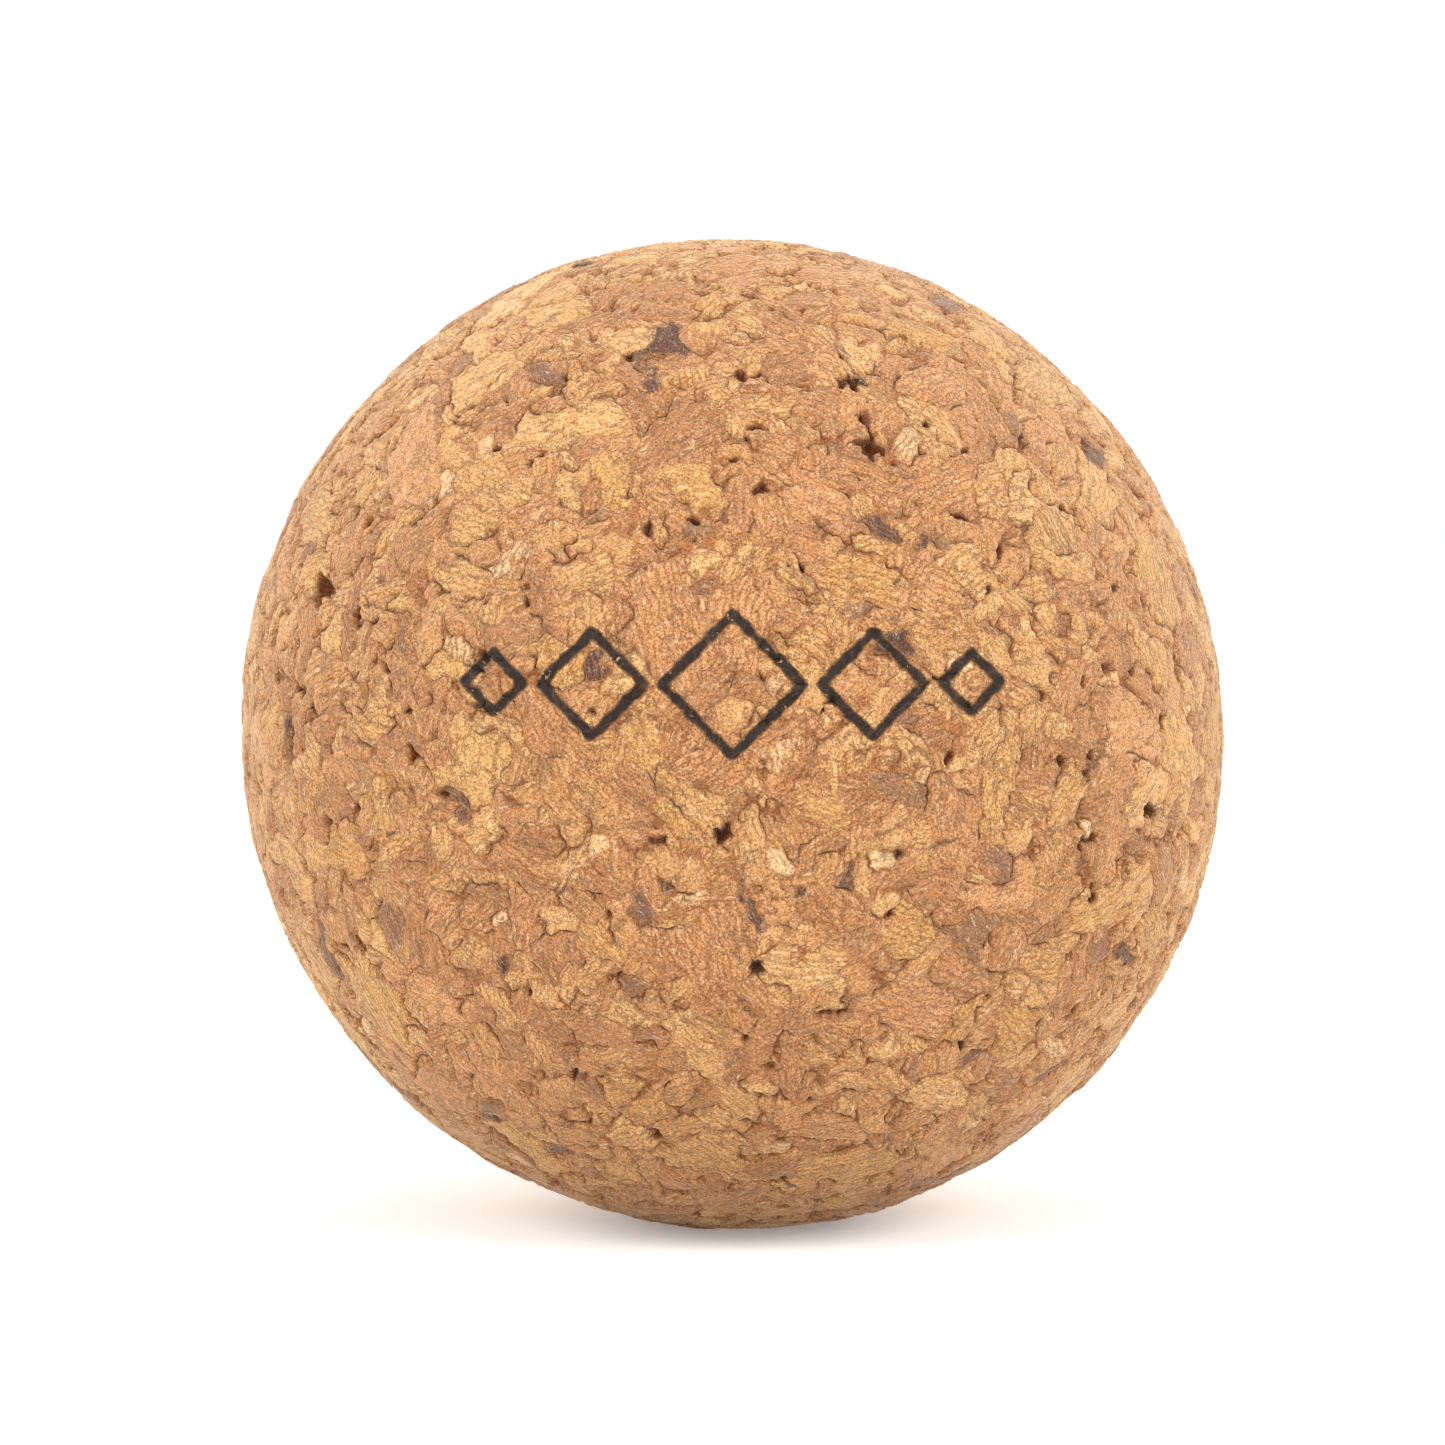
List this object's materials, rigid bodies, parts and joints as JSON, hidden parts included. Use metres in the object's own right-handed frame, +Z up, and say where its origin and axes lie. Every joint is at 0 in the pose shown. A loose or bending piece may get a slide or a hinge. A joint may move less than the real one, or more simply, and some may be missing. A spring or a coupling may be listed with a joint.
{
  "type": "massage ball",
  "caption": "Solid cork massage ball, turned round and sanded from pressed cork granules, with a small printed mark on the front.",
  "frame": {"origin": "the ball's centre", "axes": "+Z up, away from the surface that the ball lies on; the printed front faces -Y; +X is to the right as seen from the front"},
  "size_m": [0.065, 0.0651, 0.065],
  "materials": {
    "cork_ground": "matte, fine cork granulate and its binder",
    "cork_golden": "matte, sanded golden tan cork",
    "cork_rose": "matte, sanded pinkish cork with growth rings",
    "cork_pale": "matte, sanded pale straw-coloured cork",
    "cork_umber": "matte, sanded grey-brown cork",
    "bark": "matte, hard dark outer bark",
    "cream_cork": "matte, hard cream-coloured cells",
    "ink": "matte dark ink, slightly worn"
  },
  "bodies": {
    "root": {"cork_body": "cork_ground", "golden_granules": "cork_golden", "rose_granules": "cork_rose", "pale_granules": "cork_pale", "umber_granules": "cork_umber", "bark_chips": "bark", "cream_specks": "cream_cork", "printed_mark": "ink"}
  },
  "joints": []
}
